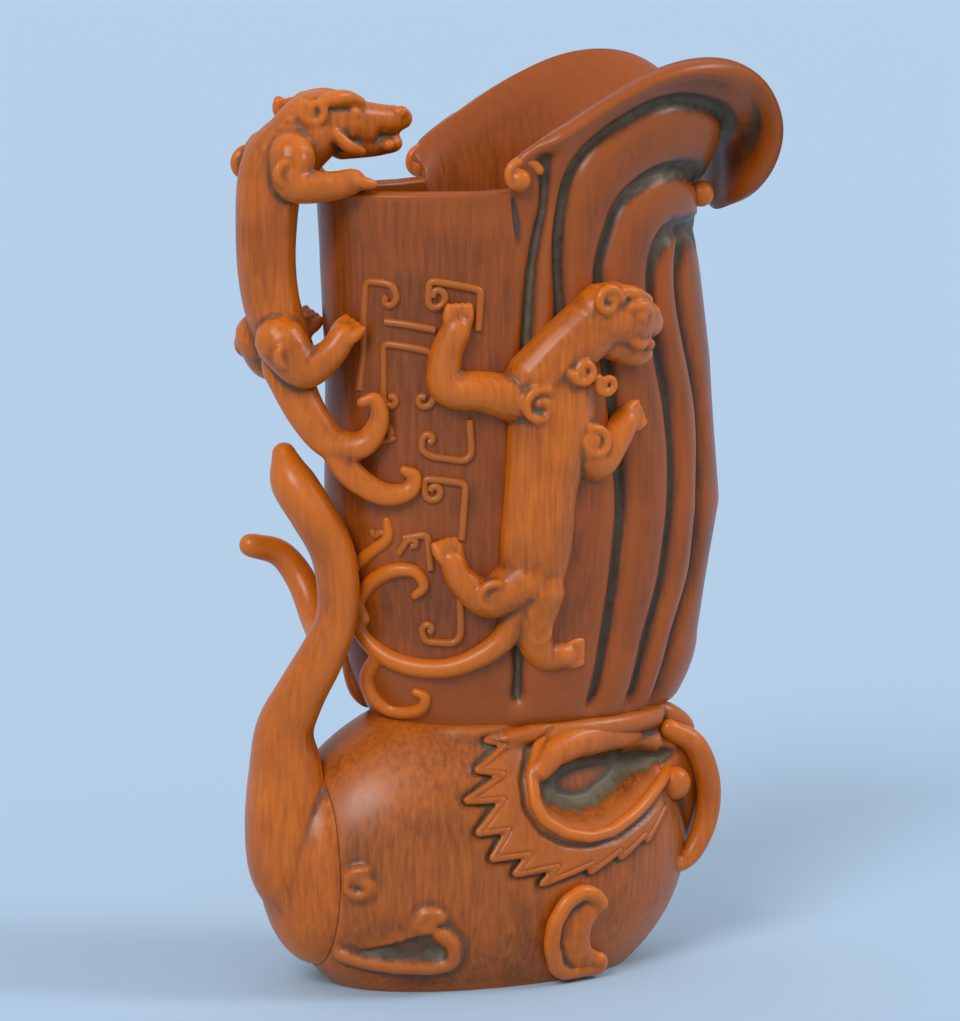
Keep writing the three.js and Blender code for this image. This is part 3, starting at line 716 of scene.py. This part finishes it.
curl_high, curl_low = on_flank([(360, 887), (361, 888)])[0], on_flank([(427, 926), (428, 927)])[0]

beast = [blob(0, 0, MIDDLE_Z, LENGTH / 2, DEPTH / 2, HEIGHT / 2, rows=60, sides=96),
         limb([(26, 0, 40, 13), (36, 0, 40, 9.4), (40.4, 0, 34, 7.8), (37.6, 0, 24, 7.6)], 1.2, sides=32)]
for s in (-1, 1):
    beast += [
        ridge(haunch_lip, 0.2, 1.5, s),
        limb([flank(x, z, 0.5, r, s) for x, _, z, r in volute(curl_high[0], 0, curl_high[1], 3.0, 1.1, 1.4, 1.0)],
             per_span=3, sides=10),
        limb([flank(x, z, 0.5, r, s) for x, _, z, r in volute(curl_low[0], 0, curl_low[1], 2.6, 1.1, 0.4, 0.9)],
             per_span=3, sides=10),
        limb([(30, s * 6, 50.5, 2.2), (36, s * 8, 50, 2.4), (41.4, s * 7, 46.6, 2.2), (42, s * 6, 43.4, 1.6)],
             per_span=6),
    ]
foot_turn = np.linspace(0, 2 * math.pi, 41)
beast.append(limb([(8.5 + 29.4 * math.cos(a), 16.2 * math.sin(a), SEAT_Z - 0.2, 2.4) for a in foot_turn],
                  per_span=2, sides=12, lean=(0, 0, 1)))
beast_mesh = carve("beast", beast, 0.6, 4)
count = len(beast_mesh.vertices)
co = np.empty(count * 3)
beast_mesh.vertices.foreach_get("co", co)
co = co.reshape(-1, 3)
# the bowl of each ear is hollowed out of the cheek, and the mane stands proud up to its flame edge
flat_points = np.stack([co[:, 0] / MM - SHIFT_X, co[:, 2] / MM], 1)
on_side = smooth((np.abs(co[:, 1]) / MM - 7) / 3)
bowl_outline = np.concatenate([ear_rim, ear_fold[::-1]])
bowl = inside_of(flat_points, bowl_outline) * smooth(distance_to(flat_points, bowl_outline) / 6.5)
mane_outline = np.concatenate([mane_edge, [(mane_edge[-1][0] + 3, 58), (mane_edge[0][0], 58)]])
mane_inside = inside_of(flat_points, mane_outline)
mane_away = distance_to(flat_points, mane_edge)
mane = 0.9 * mane_inside * smooth(mane_away / 0.7) - 0.7 * (1 - mane_inside) * np.exp(-(mane_away / 1.3) ** 2)
cut = 0.8 * np.exp(-(distance_to(flat_points, ear_line) / 0.7) ** 2)
scoop = 0.9 * inside_of(flat_points, haunch_lip) * smooth(distance_to(flat_points, haunch_lip) / 4)
co[:, 1] += np.sign(co[:, 1]) * on_side * (mane - cut - 6.5 * bowl - scoop) * MM
co[:, 2] = np.maximum(co[:, 2], 0.0)
collar = COLLAR_X + SHIFT_X + 0.15
co[:, 0] = np.maximum(co[:, 0], collar * MM)
beast_mesh.vertices.foreach_set("co", co.ravel())
beast_mesh.update()
finish_piece("beast", beast_mesh, beast_wood, "beast_body")

# Tail: it leaves the rump at the collar, swells, and rises as an S that leans on the cup.
tail = [
    blob(COLLAR_X + 1.0, 0, MIDDLE_Z, 11.0, 13.9, 19.6, rows=30, sides=40),
    limb([(COLLAR_X - 2, 0, 20, 8), (-40.2, 0, 25, 8.4), (-40.8, 0, 33, 8.4), (-41.2, 0, 42, 7.4), (-42, -1, 51, 5.6),
          (-39.8, -3.5, 58.4, 4.7), (-36.4, -6, 66, 4.3), (-33.8, -7, 72.5, 3.9), (-33.2, -7, 79.3, 4.0),
          (-34.6, -7, 87, 4.2), (-38.2, -6, 94, 4.3), (-41, -3, 100, 4.2), (-41.8, -1, 104.8, 2.4)], 1.15, sides=32),
    limb([(-34.8, -5.6, 68, 3), (-33, 4, 71, 3), (-33.5, 10, 78, 3), (-37, 12.5, 83.5, 2.7), (-43, 13, 85.5, 2.4)]),
]
tail_mesh = carve("tail", tail, 0.5, 3)
count = len(tail_mesh.vertices)
co = np.empty(count * 3)
tail_mesh.vertices.foreach_get("co", co)
co = co.reshape(-1, 3)
held = co[:, 2] < (SEAT_Z - 2) * MM
limit = (collar - 0.1) * MM
co[:, 0] = np.where(held, np.minimum(co[:, 0], limit), co[:, 0])
tail_mesh.vertices.foreach_set("co", co.ravel())
tail_mesh.update()
finish_piece("tail", tail_mesh, figure_wood, "beast_tail")

# Ears, mane, cheek and foot scrolls: each ear is a cupped leaf off the cheek with a thin
# raised lip, and a ridge follows the flame edge of the mane that stands round it from below.
FOOT_EDGE = [(598, 909), (592, 900), (579, 896), (563, 907), (551, 928), (548, 951), (553, 974), (566, 985), (581, 988),
             (595, 984), (600, 973), (595, 966)]
FOOT_MIDDLE = [(583, 912), (573, 930), (570, 950), (575, 968), (586, 976)]
foot_edge, foot_middle = on_flank(FOOT_EDGE), on_flank(FOOT_MIDDLE)
foot_edge[:, 1] = np.maximum(foot_edge[:, 1], 2.3)
for place, side in (("front", -1), ("back", 1)):
    lips = [ridge(ear_rim, 1.2, 1.35, side, 0.9)]
    along = ear_fold[::3]
    lips.append(limb([flank(x, z, 1.6 + 1.4 * k / len(along), 1.3 + 2.0 * math.sin(math.pi * min(1, 0.15 + k / len(along))),
                            side) for k, (x, z) in enumerate(along)], 0.8, per_span=3, sides=14))
    name = "ear_leaf_" + place
    finish_piece(name, carve(name, lips, 0.36, 2), figure_wood, "ear_" + place)

    name = "mane_teeth_" + place
    finish_piece(name, carve(name, [ridge(mane_edge, 0.35, 0.75, side, 0.8, 1)], 0.3, 1), beast_wood, "mane_" + place)

    foot = ridge(foot_edge, 1.6, 1.7, side, 0.9)
    web = ridge(foot_middle, 0.3, 4.0, side, 0.5)
    name = "foot_curl_" + place
    finish_piece(name, carve(name, [foot, web], 0.36, 2), figure_wood, "foot_scroll_" + place)

    cheek = limb([(36.5, side * 10, 47, 2.0), (42, side * 10.6, 43.4, 2.4), (45.2, side * 10.4, 36, 2.5),
                  (45.2, side * 9.8, 28, 2.4), (42, side * 9.8, 21.4, 2.1), (38, side * 10.6, 19.6, 1.7),
                  (36.6, side * 11, 22.6, 1.3)])
    name = "cheek_curl_" + place
    finish_piece(name, carve(name, [cheek, blob(37.5, side * 11, 36, 3.4, 2.6, 3.4)], 0.36, 2), figure_wood,
                 "snout_scroll_" + place)

# A pearl sits in each curl of the spout's edge, and closes the end of the leaf.
pearls = []
for side in (-1, 1):
    pearls += [blob(-2.4, side * 22.6, 157.4, 2.3), blob(43.5, side * 9, 152.6, 2.6)]
    pearls += [limb([(x, side * 22.8, z, r) for x, _, z, r in volute(-2.2, 0, 157.6, 4.2, 0.75, 0.4, 1.1)],
                    per_span=3, sides=10)]
finish_piece("spout_pearls", carve("spout_pearls", pearls, 0.36, 2), figure_wood)

# The ground is a plain pale paper sweep, lit by two wide suns and a soft room.
GROUND = "#AEC7DE"
paper = bpy.data.materials.new("paper_ground_pale_blue")
paper.use_nodes = True
paper.node_tree.nodes["Principled BSDF"].inputs["Base Color"].default_value = linear(GROUND)
paper.node_tree.nodes["Principled BSDF"].inputs["Roughness"].default_value = 0.9
sheet = bpy.data.meshes.new("ground")
sheet.from_pydata([(-8, -8, 0), (8, -8, 0), (8, 8, 0), (-8, 8, 0)], [], [(0, 1, 2, 3)])
sheet.materials.append(paper)
ground = bpy.data.objects.new("ground", sheet)
bpy.context.scene.collection.objects.link(ground)

world = bpy.data.worlds.new("soft_room")
bpy.context.scene.world = world
world.use_nodes = True
world.node_tree.nodes["Background"].inputs["Color"].default_value = linear("#F4F8FF")
world.node_tree.nodes["Background"].inputs["Strength"].default_value = 0.66


def wide_sun(name, place, spread, strength):
    lamp = bpy.data.lights.new(name, "SUN")
    lamp.angle = math.radians(spread)
    lamp.energy = strength
    light = bpy.data.objects.new(name, lamp)
    light.location = place
    aim = np.array((0, 0, 0.09)) - place
    light.rotation_euler = vector_angles(aim)
    bpy.context.scene.collection.objects.link(light)


def vector_angles(aim):
    from mathutils import Vector
    return Vector(aim).to_track_quat("-Z", "Y").to_euler()


wide_sun("window_left", (-0.85, -0.75, 0.95), 24, 1.5)
wide_sun("window_right", (0.9, -0.5, 0.9), 18, 0.85)

# The camera stands where the photograph was taken: on the handle side, a little above.
CAMERA_MM, SENSOR_MM, PHOTO_WIDTH, FRAMING = 900.0, 36.0, 960, 0.985
camera = bpy.data.cameras.new("camera")
camera.sensor_fit = "HORIZONTAL"
camera.sensor_width = SENSOR_MM
camera.lens = FRAMING * SENSOR_MM * CAMERA_MM / (PHOTO_WIDTH / PIXELS_PER_MM)
view = bpy.data.objects.new("camera", camera)
back = np.array((math.sin(AZIMUTH) * math.cos(ELEVATION), -math.cos(AZIMUTH) * math.cos(ELEVATION),
                 math.sin(ELEVATION)))
target = np.array((SHIFT_X, 0, AIM_Z - 0.6)) * MM
view.location = target + back * CAMERA_MM * MM
view.rotation_euler = vector_angles(-back)
bpy.context.scene.collection.objects.link(view)
bpy.context.scene.camera = view
bpy.context.scene.view_settings.view_transform = "Standard"
